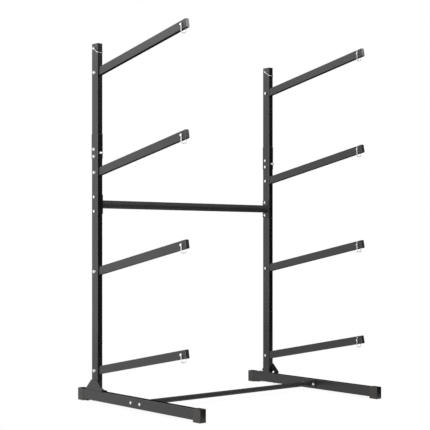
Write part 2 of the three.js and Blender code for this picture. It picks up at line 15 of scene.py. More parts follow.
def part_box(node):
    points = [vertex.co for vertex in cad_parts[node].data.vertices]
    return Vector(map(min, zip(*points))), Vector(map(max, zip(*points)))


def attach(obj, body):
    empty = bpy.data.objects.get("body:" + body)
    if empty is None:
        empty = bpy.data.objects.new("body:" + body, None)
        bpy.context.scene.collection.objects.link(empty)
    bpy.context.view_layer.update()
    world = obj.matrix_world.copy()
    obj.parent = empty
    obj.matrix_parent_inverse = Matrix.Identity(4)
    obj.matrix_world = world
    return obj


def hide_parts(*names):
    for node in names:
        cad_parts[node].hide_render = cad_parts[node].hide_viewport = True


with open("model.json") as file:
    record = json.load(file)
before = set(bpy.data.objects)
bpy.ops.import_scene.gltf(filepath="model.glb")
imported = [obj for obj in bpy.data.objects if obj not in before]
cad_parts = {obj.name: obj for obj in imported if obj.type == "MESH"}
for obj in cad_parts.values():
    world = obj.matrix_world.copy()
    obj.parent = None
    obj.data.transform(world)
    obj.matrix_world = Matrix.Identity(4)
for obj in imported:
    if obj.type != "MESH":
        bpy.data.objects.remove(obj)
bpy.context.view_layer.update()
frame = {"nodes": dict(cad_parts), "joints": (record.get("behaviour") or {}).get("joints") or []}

X = Vector((1, 0, 0))
Y = Vector((0, 1, 0))
Z = Vector((0, 0, 1))
FULL_TURN = 2 * math.pi
QUARTER_TURN = math.pi / 2
# Each stand's name and the sign of X on its outer side
SIDES = (("left", -1), ("right", 1))
LOWER_ARMS = (1, 2, 3)
UPPER_ARMS = (4,)
ARM_NUMBERS = LOWER_ARMS + UPPER_ARMS

# Clearances, as in the CAD
SEAT_GAP = 0.0003
SLOT_CLEARANCE = 0.0004
OVERRUN = 0.010
WELD_SINK = 0.0005

# Tubes, and the section of each as width, depth, corner and wall
UPRIGHT_WIDTH = 0.030
UPRIGHT_DEPTH = 0.050
UPRIGHT_WALL = 0.002
UPRIGHT_CORNER = 0.003
UPRIGHT_SECTION = (UPRIGHT_WIDTH, UPRIGHT_DEPTH, UPRIGHT_CORNER, UPRIGHT_WALL)
FOOT_WIDTH = 0.030
FOOT_HEIGHT = 0.050
FOOT_WALL = 0.002
FOOT_CORNER = 0.003
FOOT_SECTION = (FOOT_WIDTH, FOOT_HEIGHT, FOOT_CORNER, FOOT_WALL)
ARM_WIDTH = 0.020
ARM_HEIGHT = 0.040
ARM_WALL = 0.0015
ARM_CORNER = 0.0025
ARM_SECTION = (ARM_WIDTH, ARM_HEIGHT, ARM_CORNER, ARM_WALL)
END_BEVEL = 0.0004

# Splice sleeve and its bolts
SLEEVE_LENGTH = 0.120
SLEEVE_WALL = 0.0015
SLEEVE_FIT = 0.0003
SLEEVE_BOLT_DROPS = (0.0143, 0.0493)
SLEEVE_FRONT_BOLT_DROP = 0.0325

# Base plate and gusset
PLATE_LENGTH = 0.134
PLATE_THICKNESS = 0.0045
PLATE_CORNER = 0.004
PLATE_BEVEL = 0.0005
GUSSET_THICKNESS = 0.004
GUSSET_HEIGHT = 0.052
GUSSET_END_HEIGHT = 0.011

# Boots
BOOT_WALL = 0.0015
BOOT_FIT = 0.0003
BOOT_END_WALL = 0.003
BOOT_FRONT_LENGTH = 0.047
BOOT_REAR_LENGTH = 0.042
BOOT_SLANT = 0.003
BOOT_ROUND = 0.003
BOOT_BEVEL = 0.0012
TONGUE_LENGTH = 0.080
TONGUE_THICKNESS = 0.0052

# End caps
CAP_THICKNESS = 0.003
CAP_BEVEL = 0.0008
CAP_PLUG = 0.012
CAP_PLUG_WALL = 0.0015

# Cross bars and their flange plates
UPPER_BAR_RADIUS = 0.020
LOWER_BAR_RADIUS = 0.0125
BAR_WALL = 0.0015
FLANGE_LENGTH = 0.096
FLANGE_WIDTH = 0.045
FLANGE_THICKNESS = 0.004
FLANGE_CORNER = 0.006

# Hexagon bolts: the head's end face is turned to a share of its flats and chamfered from there,
# and the turned form stands a hair clear of the corners
BOLT_RADIUS = 0.004
BOLT_FLATS = 0.013
BOLT_HEAD_HEIGHT = 0.0053
NUT_HEIGHT = 0.0065
BOLT_TAIL = 0.003
LONG_TAIL = 0.015
THREAD_PITCH = 0.00125
THREAD_DEPTH = 0.0006
GRIP_DIGITS = 5
HEXAGON_FACE_SHARE = 0.96
HEXAGON_CHAMFER_DEGREES = 30
HEXAGON_CLEAR_SHARE = 1.001
WASHER_RADIUS = 0.008
WASHER_THICKNESS = 0.0016
WASHER_BEVEL = PLATE_BEVEL / 2

# Lock pins
PIN_RADIUS = 0.004
PIN_HEAD_RADIUS = 0.006
PIN_HEAD_LENGTH = 0.009
PIN_CHAMFER = 0.0012
PIN_GROOVE_DEPTH = 0.0008
PIN_TIP_LENGTH = 0.004
WIRE_RADIUS = 0.0015
BAIL_SIDE_GAP = 0.0022
BAIL_CORNER = 0.008
BAIL_REACH = 0.0355
TOP_BAIL_REACH = 0.034
BAIL_STUB = 0.0075
BAIL_TAIL = 0.018
BAIL_BITE = 0.0002
WRAP_REACH = 2

# Weld beads
BEAD_RADIUS = 0.0018
BEAD_SINK = BEAD_RADIUS / 3
BEAD_RIPPLE = 0.0028
BEAD_RIPPLE_SHARE = 0.12
BEAD_STEP = 0.0007

# Facets and roundings
CORNER_STEPS = 6
BEAD_CORNER_STEPS = 4
BEVEL_STEPS = 3
ROUND_SIDES = 48
HEXAGON_SIDES = 6
PIN_SIDES = 32
WIRE_SIDES = 12
BEAD_SIDES = 8
THREAD_STEPS = 8
WRAP_STEPS = 16
BAIL_CORNER_STEPS = 10
ROUND_PROFILE = 0.5
LEAST_CORNER_SHARE = 1 / 3
MERGE_DISTANCE = 1e-6

# Shading: edges stay sharp from these angles in degrees, and flat faces outweigh round ones
SHARP_EDGE = 32
SHARP_WIRE_EDGE = 50
SHARP_BEAD_EDGE = 60
FLAT_FACE_WEIGHT = 100


# Places, from the frame


def middle(node):
    low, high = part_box(node)
    return (low + high) / 2


def joint_place(name):
    return next(Vector(j["pos_m"]) for j in frame["joints"] if j["name"] == name)


def stand_places(side):
    """The stand's axis, its foot's box and its heights."""
    foot_low, foot_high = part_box(f"foot_{side}")
    lower_low, lower_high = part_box(f"lower_upright_{side}")
    upper_low, upper_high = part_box(f"upper_upright_{side}")
    return {
        "x": middle(f"foot_{side}").x,
        "y": middle(f"upper_bar_bolt_{side}_upper").y,
        "foot": (foot_low, foot_high),
        "plate_bottom": lower_low.z,
        "lower_top": lower_high.z,
        "sleeve_bottom": upper_low.z,
        "upper_top": upper_high.z,
    }


STANDS = {side: stand_places(side) for side, _ in SIDES}


def on_axis(side, z=0):
    """A matrix that takes the origin to the stand's axis at height z."""
    stand = STANDS[side]
    return Matrix.Translation((stand["x"], stand["y"], z))


def arm_axis(side, number):
    """The arm bolt's middle and the direction in which the arm rises towards its pin."""
    bolt = middle(f"arm_bolt_{side}_{number}")
    pin = joint_place(f"pin_{side}_{number}_swing")
    return bolt, (pin - bolt).normalized()


def lined_up(place, direction, upward):
    """A matrix whose local Z runs along the direction and whose local Y leans towards upward."""
    along = direction.normalized()
    across = upward.cross(along).normalized()
    up = along.cross(across)
    turn = Matrix((across, up, along)).transposed()
    return Matrix.Translation(place) @ turn.to_4x4()


# Mesh building


def new_object(name, mesh, material):
    piece = bpy.data.objects.new(name, mesh)
    bpy.context.scene.collection.objects.link(piece)
    if not mesh.materials:
        mesh.materials.append(material)
    return piece


def finished(name, mesh, finish, nodes=(), matrix=None, body="frame"):
    """A piece in place: it has the finish's material, rides on the body and hides the CAD nodes that it
    stands for.
    """
    material, slot = finish
    piece = new_object(name, mesh, material)
    if matrix is not None:
        piece.matrix_world = matrix
    weighted = piece.modifiers.new("flat_faces", "WEIGHTED_NORMAL")
    weighted.keep_sharp = True
    weighted.weight = FLAT_FACE_WEIGHT
    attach(piece, body)
    if nodes:
        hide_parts(*nodes)


def mesh_of(bm, name, sharp_degrees=SHARP_EDGE):
    """The mesh, smooth but for edges sharper than the angle."""
    bmesh.ops.recalc_face_normals(bm, faces=bm.faces)
    mesh = bpy.data.meshes.new(name)
    bm.to_mesh(mesh)
    bm.free()
    mesh.shade_smooth()
    mesh.set_sharp_from_angle(angle=math.radians(sharp_degrees))
    return mesh


def loft(bm, rings, closed=False):
    """Skins the rings in turn: a closed skin joins the last to the first, an open one is capped."""
    rows = [[bm.verts.new(point) for point in ring] for ring in rings]
    pairs = list(zip(rows, rows[1:]))
    if closed:
        pairs.append((rows[-1], rows[0]))
    for low, high in pairs:
        for i in range(len(low)):
            j = (i + 1) % len(low)
            bm.faces.new((low[i], low[j], high[j], high[i]))
    if not closed:
        bm.faces.new(list(reversed(rows[0])))
        bm.faces.new(rows[-1])


def skin_mesh(name, rings, closed=False, sharp_degrees=SHARP_EDGE):
    """A mesh that is one skin over the rings."""
    bm = bmesh.new()
    loft(bm, rings, closed)
    return mesh_of(bm, name, sharp_degrees)


def rounded_ring(width, depth, corner, z, steps=CORNER_STEPS):
    """Rounded rectangle in XY at height z."""
    ring = []
    centres = ((1, 1), (-1, 1), (-1, -1), (1, -1))
    for quarter, (sx, sy) in enumerate(centres):
        for step in range(steps + 1):
            turn = QUARTER_TURN * (quarter + step / steps)
            x = sx * (width / 2 - corner) + corner * math.cos(turn)
            y = sy * (depth / 2 - corner) + corner * math.sin(turn)
            ring.append(Vector((x, y, z)))
    return ring


def circle_ring(radius, z, sides):
    turns = (FULL_TURN * i / sides for i in range(sides))
    return [Vector((radius * math.cos(t), radius * math.sin(t), z)) for t in turns]


def inside_corner(corner, wall):
    """The corner inside a tube, which is never quite sharp."""
    return max(corner - wall, corner * LEAST_CORNER_SHARE)


def tube_mesh(name, width, depth, corner, wall, bottom, top):
    """Hollow tube: rings up its outside and down its inside, with a small bevel on the outer rims."""
    outside = (width, depth, corner)
    rim = (width - 2 * END_BEVEL, depth - 2 * END_BEVEL, corner - END_BEVEL)
    inside = (width - 2 * wall, depth - 2 * wall, inside_corner(corner, wall))
    rings = [
        rounded_ring(*rim, bottom),
        rounded_ring(*outside, bottom + END_BEVEL),
        rounded_ring(*outside, top - END_BEVEL),
        rounded_ring(*rim, top),
        rounded_ring(*inside, top),
        rounded_ring(*inside, bottom),
    ]
    return skin_mesh(name, rings, closed=True)


def plate_rings(width, depth, corner, bottom, top, bevel):
    """Rings of a plate whose edges are rounded off."""
    rings = []
    for end, start in ((bottom, 0), (top, 1)):
        for step in range(BEVEL_STEPS + 1):
            turn = QUARTER_TURN * (start + step / BEVEL_STEPS)
            inset = bevel * (1 - math.sin(turn))
            inward = bevel * (1 - abs(math.cos(turn)))
            z = end + inward if start == 0 else end - inward
            rings.append(rounded_ring(width - 2 * inset, depth - 2 * inset, corner - inset, z))
    return rings


def prism_mesh(name, outline, width, bevel):
    """A YZ outline extruded along X, centred on X = 0, with its long edges rounded."""
    bm = bmesh.new()
    faces_x = (-width / 2, width / 2)
    rows = [[bm.verts.new(Vector((x, y, z))) for y, z in outline] for x in faces_x]
    ends = [bm.faces.new(rows[0]), bm.faces.new(list(reversed(rows[1])))]
    for i in range(len(outline)):
        j = (i + 1) % len(outline)
        bm.faces.new((rows[0][i], rows[0][j], rows[1][j], rows[1][i]))
    bmesh.ops.recalc_face_normals(bm, faces=bm.faces)
    rims = list({edge for face in ends for edge in face.edges})
    bmesh.ops.bevel(
        bm, geom=rims, offset=bevel, segments=BEVEL_STEPS, profile=ROUND_PROFILE, affect="EDGES"
    )
    return mesh_of(bm, name)


def swept_rings(path, radius_at, sides, closed=False):
    """Rings of a round section along the path, without twist. radius_at gives the radius by distance."""
    count = len(path)
    tangents = []
    for i in range(count):
        before = path[i - 1] if closed or i > 0 else path[i]
        after = path[(i + 1) % count] if closed or i < count - 1 else path[i]
        tangents.append((after - before).normalized())
    aside = tangents[0].orthogonal().normalized()
    rings = []
    distance = 0
    for i, point in enumerate(path):
        if i > 0:
            distance += (point - path[i - 1]).length
        aside = (aside - tangents[i] * aside.dot(tangents[i])).normalized()
        up = tangents[i].cross(aside)
        radius = radius_at(distance)
        turns = (FULL_TURN * k / sides for k in range(sides))
        rings.append([point + (aside * math.cos(t) + up * math.sin(t)) * radius for t in turns])
    return rings


def boolean(mesh, cutter_mesh, operation):
    """The first mesh joined with, cut by or kept inside the second."""
    base = bpy.data.objects.new("base", mesh)
    cutter = bpy.data.objects.new("cutter", cutter_mesh)
    for piece in (base, cutter):
        bpy.context.scene.collection.objects.link(piece)
    step = base.modifiers.new("step", "BOOLEAN")
    step.operation = operation
    step.object = cutter
    step.solver = "EXACT"
    graph = bpy.context.evaluated_depsgraph_get()
    result = bpy.data.meshes.new_from_object(base.evaluated_get(graph))
    for piece in (base, cutter):
        bpy.data.objects.remove(piece)
    return result


def reshaded(mesh, name):
    """A mesh after a boolean, with doubled points merged and its shading set again."""
    bm = bmesh.new()
    bm.from_mesh(mesh)
    bmesh.ops.remove_doubles(bm, verts=bm.verts, dist=MERGE_DISTANCE)
    return mesh_of(bm, name)


# Node materials

# Most of a noise texture's values lie between these
NOISE_LIMITS = (0.3, 0.7)


class Nodes:
    """A short way to make and link shader nodes."""

    def __init__(self, tree):
        self.tree = tree
        tree.nodes.clear()

    def add(self, kind, **values):
        node = self.tree.nodes.new(kind)
        for name, value in values.items():
            setattr(node, name, value)
        return node

    def link(self, source, target):
        self.tree.links.new(source, target)

    def spread(self, value, low, high, limits=NOISE_LIMITS):
        """Goes from low to high while the value goes from one limit to the other."""
        node = self.add("ShaderNodeMapRange")
        node.inputs["From Min"].default_value = limits[0]
        node.inputs["From Max"].default_value = limits[1]
        node.inputs["To Min"].default_value = low
        node.inputs["To Max"].default_value = high
        self.link(value, node.inputs["Value"])
        return node.outputs["Result"]

    def maths(self, operation, first, second):
        node = self.add("ShaderNodeMath", operation=operation)
        self.link(first, node.inputs[0])
        self.link(second, node.inputs[1])
        return node.outputs[0]

    def blend(self, factor, first, second):
        """The first colour where the factor is 0 and the second where it is 1."""
        node = self.add("ShaderNodeMix", data_type="RGBA")
        self.link(factor, node.inputs["Factor"])
        for name, colour in (("A", first), ("B", second)):
            socket = next(s for s in node.inputs if s.name == name and s.type == "RGBA")
            socket.default_value = colour
        return next(s for s in node.outputs if s.type == "RGBA")


class Surface(Nodes):
    """A new material with a Principled shader, and noise in the object's own coordinates."""

    def __init__(self, name):
        self.material = bpy.data.materials.new(name)
        self.material.use_nodes = True
        super().__init__(self.material.node_tree)
        self.shader = self.add("ShaderNodeBsdfPrincipled")
        output = self.add("ShaderNodeOutputMaterial")
        self.link(self.shader.outputs["BSDF"], output.inputs["Surface"])
        self.place = self.add("ShaderNodeTexCoord").outputs["Object"]
        self.normal = None

    def noise(self, scale, detail):
        node = self.add("ShaderNodeTexNoise")
        node.inputs["Scale"].default_value = scale
        node.inputs["Detail"].default_value = detail
        self.link(self.place, node.inputs["Vector"])
        return node.outputs["Fac"]

    def tint(self, cloud, first, second):
        colour = self.blend(self.spread(cloud, 0, 1), first, second)
        self.link(colour, self.shader.inputs["Base Color"])

    def roughen(self, cloud, glossy, matt):
        self.link(self.spread(cloud, glossy, matt), self.shader.inputs["Roughness"])

    def bump(self, height, strength, distance):
        """A bump on top of those made before it."""
        node = self.add("ShaderNodeBump")
        node.inputs["Strength"].default_value = strength
        node.inputs["Distance"].default_value = distance
        self.link(height, node.inputs["Height"])
        if self.normal is not None:
            self.link(self.normal, node.inputs["Normal"])
        self.normal = node.outputs["Normal"]
        self.link(self.normal, self.shader.inputs["Normal"])


def grey(level, warmth=0.0):
    return (level * (1 + warmth), level, level * (1 - warmth), 1)


COAT_SHADE = 0.010
# The bars' coat is the same black coat made paler: painted light that brightens the bars
BAR_COAT_PAINTED_LIGHT_LEVEL = 0.025
COAT_CLOUD = 1.4
COAT_IOR = 1.5


def powder_coat(name, shade, glossy, matt):
    """Black powder coat: orange peel and a finer grain, with slow changes of shade and gloss."""
    coat = Surface(name)
    coat.tint(coat.noise(scale=9, detail=4), grey(shade), grey(COAT_CLOUD * shade))
    coat.roughen(coat.noise(scale=55, detail=3), glossy, matt)
    coat.bump(coat.noise(scale=650, detail=2), strength=0.35, distance=0.00006)
    coat.bump(coat.noise(scale=2600, detail=2), strength=0.3, distance=0.00002)
    coat.shader.inputs["IOR"].default_value = COAT_IOR
    return coat.material


def weld_coat():
    """The same coat over a weld bead, a little rougher in its ripples."""
    weld = Surface("weld_coat")
    cloud = weld.noise(scale=60, detail=3)
    weld.tint(cloud, grey(COAT_SHADE), grey(COAT_CLOUD * COAT_SHADE))
    weld.roughen(cloud, glossy=0.3, matt=0.4)
    weld.bump(weld.noise(scale=900, detail=3), strength=0.5, distance=0.0001)
    return weld.material


def bright_zinc():
    """Bright zinc plate: faint cloudiness in colour and gloss, and a fine grain."""
    zinc = Surface("bright_zinc")
    zinc.tint(zinc.noise(scale=140, detail=4), (0.70, 0.71, 0.72, 1), (0.80, 0.80, 0.79, 1))
    zinc.roughen(zinc.noise(scale=420, detail=3), glossy=0.34, matt=0.46)
    zinc.bump(zinc.noise(scale=2200, detail=3), strength=0.25, distance=0.00003)
    zinc.shader.inputs["Metallic"].default_value = 1
    return zinc.material


def boot_rubber():
    """Moulded rubber: a satin skin with a faint warm bloom in patches."""
    rubber = Surface("boot_rubber")
    bloom = rubber.noise(scale=45, detail=5)
    rubber.tint(bloom, grey(0.018, warmth=0.16), grey(0.024, warmth=0.2))
    rubber.roughen(bloom, glossy=0.3, matt=0.4)
    rubber.bump(rubber.noise(scale=1300, detail=3), strength=0.5, distance=0.00008)
    return rubber.material


def cap_plastic():
    """Moulded plastic with a spark-eroded texture."""
    plastic = Surface("cap_plastic")
    cloud = plastic.noise(scale=70, detail=3)
    plastic.tint(cloud, grey(0.055), grey(0.065))
    plastic.roughen(cloud, glossy=0.2, matt=0.27)
    plastic.bump(plastic.noise(scale=1900, detail=2), strength=0.45, distance=0.00005)
    return plastic.material


# Finishes: each material with the name of a slot
COAT = (powder_coat("powder_coat", COAT_SHADE, glossy=0.23, matt=0.29), "coated_steel")
# The bars' copy of the black coat is rougher and paler; its paler base is painted light
PAINTED_LIGHT_BAR_COAT = (powder_coat("bar_coat_painted_light", BAR_COAT_PAINTED_LIGHT_LEVEL, glossy=0.58, matt=0.66), "coated_steel")
WELD = (weld_coat(), "coated_steel")
ZINC = (bright_zinc(), "zinc_steel")
RUBBER = (boot_rubber(), "boot_rubber")
PLASTIC = (cap_plastic(), "cap_plastic")


# Bolts: along local Z from the face under the head, or under its washer, at 0


def hexagon_mesh(bottom, top, chamfered_ends):
    """Hexagon with its corners turned off at the ends given by -1 and 1."""
    corner_radius = BOLT_FLATS / math.sqrt(3)
    block_rings = [circle_ring(corner_radius, z, HEXAGON_SIDES) for z in (bottom, top)]
    face_radius = BOLT_FLATS / 2 * HEXAGON_FACE_SHARE
    drop = (corner_radius - face_radius) * math.tan(math.radians(HEXAGON_CHAMFER_DEGREES))
    clear_radius = corner_radius * HEXAGON_CLEAR_SHARE
    low_radius = face_radius if -1 in chamfered_ends else corner_radius
    high_radius = face_radius if 1 in chamfered_ends else corner_radius
    turned_rings = [
        circle_ring(low_radius, bottom, ROUND_SIDES),
        circle_ring(clear_radius, bottom + drop, ROUND_SIDES),
        circle_ring(clear_radius, top - drop, ROUND_SIDES),
        circle_ring(high_radius, top, ROUND_SIDES),
    ]
    block = skin_mesh("hexagon", block_rings)
    return boolean(block, skin_mesh("turned", turned_rings), "INTERSECT")


def thread_rings(bottom, top):
    """Rings of a right-hand thread, whose ridge climbs one pitch a turn."""
    rings = []
    steps = max(2, round((top - bottom) / THREAD_PITCH * THREAD_STEPS))
    for step in range(steps + 1):
        z = bottom + (top - bottom) * step / steps
        ring = []
        for k in range(PIN_SIDES):
            phase = (z / THREAD_PITCH - k / PIN_SIDES) % 1
            radius = BOLT_RADIUS - THREAD_DEPTH * abs(2 * phase - 1)
            turn = FULL_TURN * k / PIN_SIDES
            ring.append(Vector((radius * math.cos(turn), radius * math.sin(turn), z)))
        rings.append(ring)
    return rings


def washer_rings(bottom, top):
    """Rings of a flat washer with its outer edges broken, round the bolt."""
    profile = (
        (BOLT_RADIUS, bottom),
        (WASHER_RADIUS - WASHER_BEVEL, bottom),
        (WASHER_RADIUS, bottom + WASHER_BEVEL),
        (WASHER_RADIUS, top - WASHER_BEVEL),
        (WASHER_RADIUS - WASHER_BEVEL, top),
        (BOLT_RADIUS, top),
    )
    return [circle_ring(radius, z, ROUND_SIDES) for radius, z in profile]


def bolt_mesh(grip, washer, tail):
    """Bolt and nut on faces the grip apart, with a washer under the head if it has a thickness."""
    head_seat = -washer
    nut_middle = grip + NUT_HEIGHT / 2
    end = grip + NUT_HEIGHT + tail
    core = BOLT_RADIUS - THREAD_DEPTH
    bm = bmesh.new()
    if washer > 0:
        loft(bm, washer_rings(head_seat, 0), closed=True)
    bm.from_mesh(hexagon_mesh(head_seat - BOLT_HEAD_HEIGHT, head_seat, (-1,)))
    bm.from_mesh(hexagon_mesh(grip, grip + NUT_HEIGHT, (-1, 1)))
    shank = [
        circle_ring(core, head_seat - BOLT_HEAD_HEIGHT / 2, PIN_SIDES),
        circle_ring(core, nut_middle, PIN_SIDES),
        *thread_rings(nut_middle, end - THREAD_DEPTH),
        circle_ring(core - THREAD_DEPTH, end, PIN_SIDES),
    ]
    loft(bm, shank)
    return mesh_of(bm, "bolt")


bolt_meshes = {}


def place_bolt(name, face, direction, grip, nodes=(), washer=WASHER_THICKNESS, tail=BOLT_TAIL):
    """A bolt along the direction from the face. Bolts of one size share a mesh."""
    key = (round(grip, GRIP_DIGITS), washer, tail)
    if key not in bolt_meshes:
        bolt_meshes[key] = bolt_mesh(grip, washer, tail)
    upward = Y if direction == Z else Z
    finished(name, bolt_meshes[key], ZINC, nodes, lined_up(face, direction, upward))


def dress_bolt(node, direction, washer=WASHER_THICKNESS):
    """A fine bolt in the place of a CAD bolt whose head lies at the low end of the direction."""
    low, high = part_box(node)
    length = abs((high - low).dot(direction))
    head_end = (low + high) / 2 - direction * length / 2
    grip = length - BOLT_HEAD_HEIGHT - NUT_HEIGHT - BOLT_TAIL
    face = head_end + direction * BOLT_HEAD_HEIGHT
    place_bolt(f"{node}_fine", face, direction, grip, (node,), washer)


def dress_bolts(side, outward):
    inward = X * -outward
    for number in ARM_NUMBERS:
        dress_bolt(f"arm_bolt_{side}_{number}", inward)
    for end in ("upper", "lower"):
        dress_bolt(f"upper_bar_bolt_{side}_{end}", inward, washer=0)
    for end in ("front", "rear"):
        dress_bolt(f"lower_bar_bolt_{side}_{end}", inward, washer=0)
        dress_bolt(f"base_bolt_{side}_{end}", Z, washer=0)
    stand = STANDS[side]
    splice = stand["lower_top"] + SEAT_GAP / 2
    half_width = UPRIGHT_WIDTH / 2 + SLEEVE_FIT + SLEEVE_WALL
    half_depth = UPRIGHT_DEPTH / 2 + SLEEVE_FIT + SLEEVE_WALL
    for end, drop in zip(("upper", "lower"), SLEEVE_BOLT_DROPS):
        face = Vector((stand["x"], stand["y"], splice - drop)) - inward * half_width
        place_bolt(f"sleeve_bolt_{side}_{end}", face, inward, 2 * half_width)
    face = Vector((stand["x"], stand["y"] + half_depth, splice - SLEEVE_FRONT_BOLT_DROP))
    name = f"sleeve_bolt_{side}_front"
    place_bolt(name, face, -Y, 2 * half_depth, washer=0, tail=LONG_TAIL)


# Weld beads


def bead(name, corners, closed=False):
    """A rippled bead along the straight runs between the corners."""
    path = []
    stops = list(corners) + ([corners[0]] if closed else [])
    for start, end in zip(stops, stops[1:]):
        steps = max(1, round((end - start).length / BEAD_STEP))
        path += [start.lerp(end, step / steps) for step in range(steps)]
    if not closed:
        path.append(stops[-1])

    def radius_at(distance):
        ripple = math.cos(FULL_TURN * distance / BEAD_RIPPLE)
        return BEAD_RADIUS * (1 + BEAD_RIPPLE_SHARE * ripple)

    rings = swept_rings(path, radius_at, BEAD_SIDES, closed)
    finished(name, skin_mesh(name, rings, closed, SHARP_BEAD_EDGE), WELD)


def ring_bead(name, place, radius):
    """A rippled bead round a tube along X."""
    sides = round(FULL_TURN * radius / BEAD_STEP)
    turns = (FULL_TURN * i / sides for i in range(sides))
    ring = [place + Vector((0, radius * math.cos(t), radius * math.sin(t))) for t in turns]
    bead(name, ring, closed=True)


# Uprights


def arm_slot_mesh(side, number):
    """The rounded block that cuts the arm's way through the upright's front wall."""
    bolt, along = arm_axis(side, number)
    width = ARM_WIDTH + 2 * SLOT_CLEARANCE
    height = ARM_HEIGHT + 2 * SLOT_CLEARANCE
    corner = ARM_CORNER + SLOT_CLEARANCE
    rings = [rounded_ring(width, height, corner, z) for z in (0, UPRIGHT_DEPTH)]
    mesh = skin_mesh("slot", rings)
    mesh.transform(lined_up(bolt, along, Z))
    return mesh


def upright_length(node, side, bottom, top, arms):
    """A length of the upright, with a slot in its front wall for each arm."""
    mesh = tube_mesh(node, *UPRIGHT_SECTION, bottom, top)
    mesh.transform(on_axis(side))
    for number in arms:
        mesh = boolean(mesh, arm_slot_mesh(side, number), "DIFFERENCE")
    finished(f"{node}_tube", reshaded(mesh, node), COAT, (node,))


def base_plate(side):
    bottom = STANDS[side]["plate_bottom"]
    top = bottom + PLATE_THICKNESS
    name = f"base_plate_{side}"
    rings = plate_rings(UPRIGHT_WIDTH, PLATE_LENGTH, PLATE_CORNER, bottom, top, PLATE_BEVEL)
    finished(name, skin_mesh(name, rings), COAT, matrix=on_axis(side))


def gusset(side, outward):
    """The plate that stands against the outer side of the upright."""
    half = PLATE_LENGTH / 2
    outline = [
        (-half, 0),
        (half, 0),
        (half, GUSSET_END_HEIGHT),
        (UPRIGHT_DEPTH / 2, GUSSET_HEIGHT),
        (-UPRIGHT_DEPTH / 2, GUSSET_HEIGHT),
        (-half, GUSSET_END_HEIGHT),
    ]
    name = f"gusset_{side}"
    mesh = prism_mesh(name, outline, GUSSET_THICKNESS, PLATE_BEVEL)
    shift = Matrix.Translation(X * outward * (UPRIGHT_WIDTH + GUSSET_THICKNESS) / 2)
    finished(name, mesh, COAT, matrix=on_axis(side, STANDS[side]["plate_bottom"]) @ shift)


def base_beads(side, outward):
    """Beads along the upright's lower end in front and behind, and up beside the gusset."""
    stand = STANDS[side]
    plate_top = stand["plate_bottom"] + PLATE_THICKNESS
    gusset_top = stand["plate_bottom"] + GUSSET_HEIGHT
    inner = stand["x"] - outward * (UPRIGHT_WIDTH / 2 - UPRIGHT_CORNER)
    outer = stand["x"] + outward * UPRIGHT_WIDTH / 2
    reach = UPRIGHT_DEPTH / 2 + BEAD_SINK
    faces = (("front", stand["y"] - reach), ("rear", stand["y"] + reach))
    for place, y in faces:
        start = Vector((inner, y, plate_top))
        bead(f"plate_bead_{side}_{place}", [start, Vector((outer - outward * BEAD_SINK, y, plate_top))])
    for place, y in faces:
        start = Vector((outer, y, plate_top + BEAD_RADIUS))
        bead(f"gusset_bead_{side}_{place}", [start, Vector((outer, y, gusset_top - BEAD_RADIUS))])


def sleeve(side):
    """The sleeve that is welded to the upper length and slips over the lower one."""
    bottom = STANDS[side]["sleeve_bottom"]
    top = bottom + SLEEVE_LENGTH
    grow = SLEEVE_FIT + SLEEVE_WALL
    size = (UPRIGHT_WIDTH + 2 * grow, UPRIGHT_DEPTH + 2 * grow, UPRIGHT_CORNER + grow)
    matrix = on_axis(side)
    name = f"splice_sleeve_{side}"
    finished(name, tube_mesh(name, *size, SLEEVE_WALL, bottom, top), COAT, matrix=matrix)
    path = rounded_ring(UPRIGHT_WIDTH, UPRIGHT_DEPTH, UPRIGHT_CORNER, top, BEAD_CORNER_STEPS)
    bead(f"sleeve_bead_{side}", [matrix @ point for point in path], closed=True)


def dress_upright(side, outward):
    stand = STANDS[side]
    lower_end = stand["plate_bottom"] + PLATE_THICKNESS - WELD_SINK
    upper_end = stand["lower_top"] + SEAT_GAP
    upright_length(f"lower_upright_{side}", side, lower_end, stand["lower_top"], LOWER_ARMS)
    upright_length(f"upper_upright_{side}", side, upper_end, stand["upper_top"], UPPER_ARMS)
    base_plate(side)
    gusset(side, outward)
    base_beads(side, outward)
    sleeve(side)


# Feet and boots


def dress_foot(side):
    stand = STANDS[side]
    low, high = stand["foot"]
    node = f"foot_{side}"
    mesh = tube_mesh(node, *FOOT_SECTION, 0, high.y - low.y)
    matrix = lined_up(Vector((stand["x"], low.y, (low.z + high.z) / 2)), Y, Z)
    finished(f"{node}_tube", mesh, COAT, (node,), matrix)


def boot_arc(centre_y, centre_z, start):
    """Points of a quarter arc from the start turn, given in quarters."""
    points = []
    for step in range(CORNER_STEPS + 1):
        turn = QUARTER_TURN * (start + step / CORNER_STEPS)
        y = centre_y + BOOT_ROUND * math.cos(turn)
        points.append((y, centre_z + BOOT_ROUND * math.sin(turn)))
    return points


def boot_mesh(name, lift, length, tongue=0):
    """Boot with its closed end at 0, open towards +Y, over a foot whose underside is at the lift.

    A tongue longer than the boot runs on under the foot.
    """
    top = lift + FOOT_HEIGHT + BOOT_FIT + BOOT_WALL
    sole_top = lift - BOOT_FIT
    sole_length = length + BOOT_SLANT
    tongue_bottom = sole_top - TONGUE_THICKNESS
    outline = boot_arc(BOOT_ROUND, BOOT_ROUND, 2)
    outline.append((sole_length, 0))
    if tongue > length:
        outline += [(sole_length, tongue_bottom), (tongue, tongue_bottom), (tongue, sole_top)]
    outline += [(sole_length, sole_top), (length, top)]
    outline += boot_arc(BOOT_ROUND, top - BOOT_ROUND, 1)
    block = prism_mesh("block", outline, FOOT_WIDTH + 2 * (BOOT_FIT + BOOT_WALL), BOOT_BEVEL)
    size = (FOOT_WIDTH + 2 * BOOT_FIT, FOOT_HEIGHT + 2 * BOOT_FIT, FOOT_CORNER + BOOT_FIT)
    mouth = max(sole_length, tongue) + OVERRUN
    hollow = skin_mesh("hollow", [rounded_ring(*size, z) for z in (BOOT_END_WALL, mouth)])
    hollow.transform(lined_up(Vector((0, 0, lift + FOOT_HEIGHT / 2)), Y, Z))
    return reshaded(boolean(block, hollow, "DIFFERENCE"), name)


